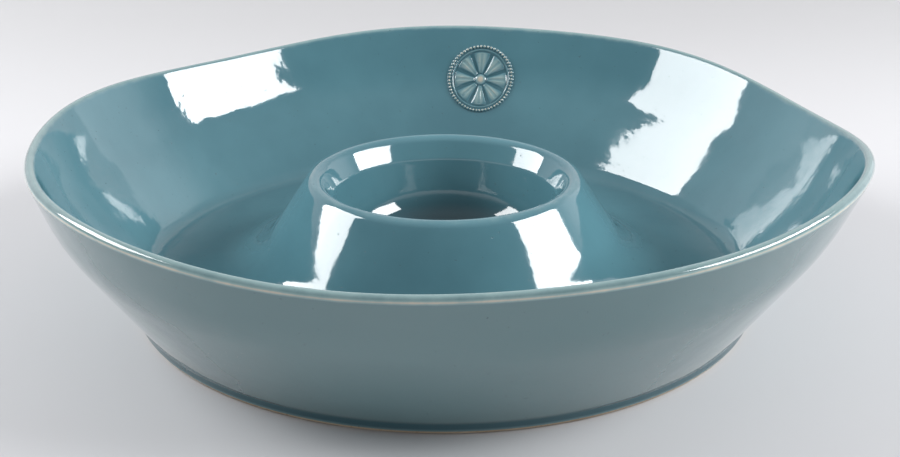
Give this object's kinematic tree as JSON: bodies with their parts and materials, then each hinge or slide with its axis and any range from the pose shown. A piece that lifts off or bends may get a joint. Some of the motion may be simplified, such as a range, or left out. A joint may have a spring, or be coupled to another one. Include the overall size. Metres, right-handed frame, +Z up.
{
  "type": "chip and dip platter",
  "caption": "Round glazed stoneware serving platter with a flared, softly waved wall around a raised dip well; it stands on a bare clay foot ring.",
  "frame": {"origin": "centre of the foot ring on the surface the platter stands on", "axes": "+Z up along the axis of the dip well; +Y towards the part of the wall that carries the rosette"},
  "size_m": [0.3536, 0.3556, 0.0788],
  "materials": {
    "clay": "fired buff stoneware under the glaze",
    "foot_clay": "bare fired stoneware",
    "sprig_glaze": "gloss, thin and pale on the raised edges",
    "liner_glaze": "gloss blue-green",
    "outer_glaze": "gloss grey-green"
  },
  "bodies": {
    "root": {"dish_body": "clay", "dip_cup_body": "clay", "well_flank_body": "clay", "foot_ring": "foot_clay", "rosette_sprig": "sprig_glaze", "dish_liner_glaze": "liner_glaze", "dish_outer_glaze": "outer_glaze", "dip_well_glaze": "liner_glaze", "underside_glaze": "outer_glaze"}
  },
  "joints": []
}
